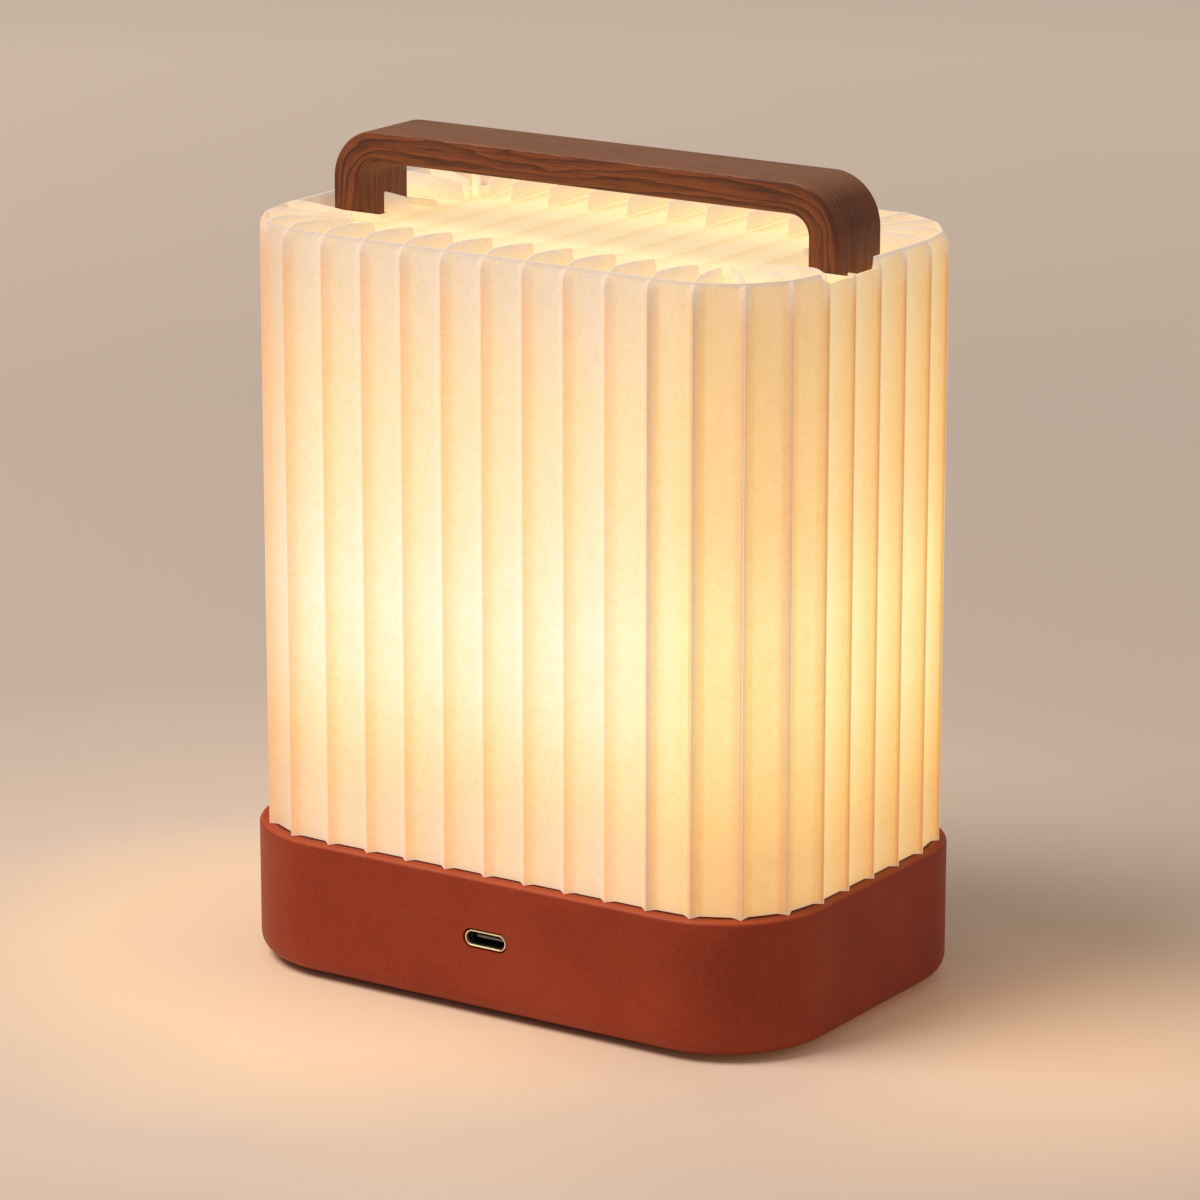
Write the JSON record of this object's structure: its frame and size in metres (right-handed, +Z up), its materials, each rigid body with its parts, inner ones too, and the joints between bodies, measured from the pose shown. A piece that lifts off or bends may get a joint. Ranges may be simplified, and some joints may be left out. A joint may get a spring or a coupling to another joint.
{
  "type": "pleated lantern lamp",
  "caption": "Rechargeable table lantern with a rounded rectangular leather-wrapped base, a pleated glowing shade, a bent wooden carry handle, a charging socket and a rear push button.",
  "frame": {"origin": "middle of the footprint, at the height of the table that the rubber feet stand on", "axes": "+Z up, -Y towards the front face with the charging socket, +X to the right as seen from the front"},
  "size_m": [0.14, 0.092, 0.1783],
  "materials": {
    "leather": "fine pebbled terracotta leather",
    "moulding": "black moulded plastic",
    "rubber": "soft black rubber",
    "steel": "zinc plated",
    "trim": "pale gold satin",
    "insert_brass": "turned",
    "aluminium": "plain milled",
    "nickel": "nickel plated",
    "walnut": "satin oiled walnut",
    "shade_paper": "matte translucent non-woven paper",
    "opal": "opal diffusing",
    "clear": "clear acrylic",
    "circuit": "green solder mask",
    "white": "white",
    "phosphor": "yellow phosphor",
    "black": "black",
    "red": "red wire insulation",
    "cell_can": "blue shrink sleeve"
  },
  "bodies": {
    "lamp": {"base_wrap": "leather", "base_shell": "moulding", "bottom_cover": "moulding", "cover_screw_left_front": "steel", "cover_screw_left_back": "steel", "cover_screw_right_front": "steel", "cover_screw_right_back": "steel", "foot_left_front": "rubber", "foot_left_back": "rubber", "foot_right_front": "rubber", "foot_right_back": "rubber", "battery_cell": "cell_can", "battery_cradle": "moulding", "battery_contact_left": "nickel", "battery_contact_right": "nickel", "charge_board": "circuit", "charge_chip": "black", "socket_shell": "nickel", "socket_tongue": "black", "socket_ring": "trim", "button_ring": "trim", "switch_body": "black", "switch_board": "circuit", "heat_spreader": "aluminium", "light_strip_front": "white", "light_strip_back": "white", "emitter_front_1": "phosphor", "emitter_front_2": "phosphor", "emitter_back_1": "phosphor", "emitter_back_2": "phosphor", "spreader_screw_left": "steel", "spreader_screw_right": "steel", "diffuser_tube": "opal", "lower_frame": "white", "upper_frame": "white", "post_left": "clear", "post_right": "clear", "post_screw_left": "steel", "post_screw_right": "steel", "shade_liner": "opal", "shade_skin": "shade_paper", "top_plate": "opal", "pleat_stub_left": "shade_paper", "pleat_stub_right": "shade_paper", "handle": "walnut", "handle_insert_left_front": "insert_brass", "handle_insert_left_back": "insert_brass", "handle_insert_right_front": "insert_brass", "handle_insert_right_back": "insert_brass", "handle_screw_left_front": "steel", "handle_screw_left_back": "steel", "handle_screw_right_front": "steel", "handle_screw_right_back": "steel", "battery_lead_left": "black", "battery_lead_right": "red", "light_lead_left": "black", "light_lead_right": "red", "switch_lead": "white"},
    "button": {"power_button": "trim", "switch_plunger": "white"}
  },
  "joints": [
    {"name": "button_press", "type": "slide", "parent": "lamp", "child": "button", "axis": [0, -1, 0], "range_m": [0, 0.0006], "stiffness_N_per_m": 500}
  ]
}
